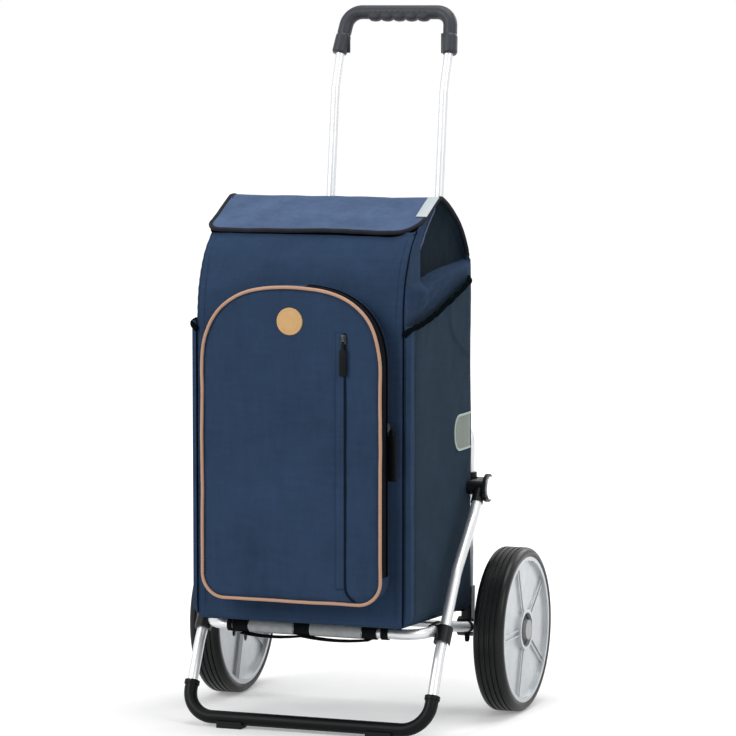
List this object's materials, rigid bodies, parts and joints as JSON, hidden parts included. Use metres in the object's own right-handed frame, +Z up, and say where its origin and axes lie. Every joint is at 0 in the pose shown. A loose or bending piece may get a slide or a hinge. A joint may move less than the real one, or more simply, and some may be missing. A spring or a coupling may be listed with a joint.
{
  "type": "folding shopping trolley",
  "caption": "Upright two-wheeled folding shopping trolley: tube frame, fold-out stand and shelf, lidded cloth bag with front and side pockets, arched handle grip.",
  "frame": {"origin": "floor level, middle of the trolley's width and depth", "axes": "+Z up, +X to the right of someone who looks at the front pocket from the front, +Y from the front pocket towards the handle"},
  "size_m": [0.512, 0.486, 1.0717],
  "materials": {
    "aluminium_tube": "satin anodised tube",
    "axle_steel": "plain steel rod",
    "black_plastic": "moulded, fine grain",
    "grip_plastic": "soft moulded grip",
    "foot_rubber": "matt rubber",
    "tyre_rubber": "ribbed tread",
    "rim_plastic": "silver-grey moulded plastic",
    "silver_cap": "silver painted cap",
    "navy_cloth": "coated polyester weave",
    "slate_cloth": "coated polyester weave, side panels",
    "lid_cloth": "coated polyester weave, lit from above",
    "copper_piping": "round piping cord in a woven cover",
    "tan_badge": "plain stamped disc",
    "black_webbing": "woven band",
    "zip_tape": "zip tape and coil",
    "reflex_film": "silver-grey reflective film",
    "sleeve_grey": "ribbed grey sleeve"
  },
  "bodies": {
    "chassis": {"handle_tube_left": "aluminium_tube", "handle_tube_right": "aluminium_tube", "handle_grip": "grip_plastic", "axle": "axle_steel", "axle_bracket_left": "black_plastic", "axle_bracket_right": "black_plastic", "pivot_bracket_left": "black_plastic", "pivot_bracket_right": "black_plastic", "bag_body": "navy_cloth", "bag_hanger_left": "black_plastic", "bag_hanger_right": "black_plastic", "front_pocket": "navy_cloth", "pocket_piping": "copper_piping", "badge": "tan_badge", "front_zip": "zip_tape", "gusset_zip": "zip_tape", "side_pocket_left": "slate_cloth", "side_pocket_right": "slate_cloth", "pocket_edge_left": "black_webbing", "pocket_edge_right": "black_webbing", "reflector_left": "reflex_film", "reflector_right": "reflex_film"},
    "lid": {"lid": "lid_cloth", "lid_binding": "black_webbing", "lid_strip": "reflex_film"},
    "stand": {"stand_tube": "aluminium_tube", "foot_cover": "black_plastic", "foot_pad_left": "foot_rubber", "foot_pad_right": "foot_rubber", "leg_socket_left": "black_plastic", "leg_socket_right": "black_plastic", "pivot_disc_left": "black_plastic", "pivot_disc_right": "black_plastic", "pivot_cap_left": "silver_cap", "pivot_cap_right": "silver_cap"},
    "shelf": {"shelf_tube": "aluminium_tube", "shelf_eye_left": "black_plastic", "shelf_eye_right": "black_plastic", "leg_clip_left": "black_plastic", "leg_clip_right": "black_plastic", "arm_hook_left": "black_plastic", "arm_hook_right": "black_plastic", "sleeve_left": "sleeve_grey", "sleeve_right": "sleeve_grey", "strap_outer_left": "black_webbing", "strap_outer_right": "black_webbing", "strap_inner_left": "black_webbing", "strap_inner_right": "black_webbing", "strap_middle": "black_webbing", "shelf_band": "black_webbing"},
    "wheel_left": {"tyre_left": "tyre_rubber", "rim_left": "rim_plastic", "hub_left": "black_plastic", "hub_cap_left": "silver_cap"},
    "wheel_right": {"tyre_right": "tyre_rubber", "rim_right": "rim_plastic", "hub_right": "black_plastic", "hub_cap_right": "silver_cap"},
    "front_slider": {"front_zip_slider": "black_plastic"},
    "gusset_slider": {"gusset_zip_slider": "black_plastic"}
  },
  "joints": [
    {"name": "stand_fold", "type": "hinge", "parent": "chassis", "child": "stand", "pos_m": [0, 0.06199, 0.345], "axis": [1, 0, 0], "range_deg": [0, 44]},
    {"name": "shelf_fold", "type": "hinge", "parent": "chassis", "child": "shelf", "pos_m": [0, 0.10299, 0.125], "axis": [-1, 0, 0], "range_deg": [0, 60], "deforming": ["bag_body", "front_pocket", "pocket_piping", "badge", "front_zip", "gusset_zip", "side_pocket_left", "side_pocket_right", "pocket_edge_left", "pocket_edge_right", "reflector_left", "reflector_right"]},
    {"name": "wheel_left_spin", "type": "hinge", "parent": "chassis", "child": "wheel_left", "pos_m": [-0.23, 0.10299, 0.125], "axis": [1, 0, 0], "continuous": true},
    {"name": "wheel_right_spin", "type": "hinge", "parent": "chassis", "child": "wheel_right", "pos_m": [0.23, 0.10299, 0.125], "axis": [1, 0, 0], "continuous": true},
    {"name": "lid_open", "type": "hinge", "parent": "chassis", "child": "lid", "pos_m": [0, 0.09799, 0.69], "axis": [-1, 0, 0], "range_deg": [0, 75]},
    {"name": "front_zip_slide", "type": "slide", "parent": "chassis", "child": "front_slider", "axis": [0, 0, -1], "range_m": [0, 0.31]},
    {"name": "gusset_zip_slide", "type": "slide", "parent": "chassis", "child": "gusset_slider", "axis": [0, 0, 1], "range_m": [-0.19, 0.065]}
  ]
}
